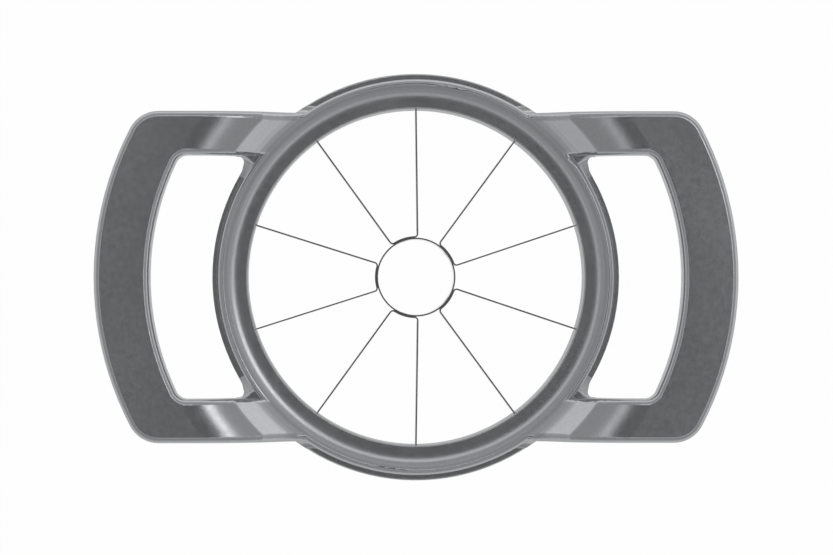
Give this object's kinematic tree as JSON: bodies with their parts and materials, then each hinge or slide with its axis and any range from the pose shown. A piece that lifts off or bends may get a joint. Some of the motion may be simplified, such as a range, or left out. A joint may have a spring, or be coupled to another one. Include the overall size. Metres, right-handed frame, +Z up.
{
  "type": "apple slicer",
  "caption": "Round push-down apple slicer and corer in cast aluminium, with bent steel blade strips round a corer ring and a raised loop handle on each side.",
  "frame": {"origin": "on the ring's axis at its foot, the surface that the slicer stands on", "axes": "+Z up along the corer's axis, +X through the middle of one handle, +Y across"},
  "size_m": [0.1764, 0.1138, 0.0313],
  "materials": {
    "cast_aluminium": "satin blasted die casting",
    "blade_steel": "ground stainless strip",
    "corer_steel": "ground stainless tube",
    "retaining_steel": "rolled stainless plate",
    "screw_steel": "plain stainless"
  },
  "bodies": {
    "root": {"frame_casting": "cast_aluminium", "blade_strip_1": "blade_steel", "blade_strip_2": "blade_steel", "blade_strip_3": "blade_steel", "blade_strip_4": "blade_steel", "blade_strip_5": "blade_steel", "corer_ring": "corer_steel", "retaining_ring": "retaining_steel", "retaining_screws": "screw_steel"}
  },
  "joints": []
}
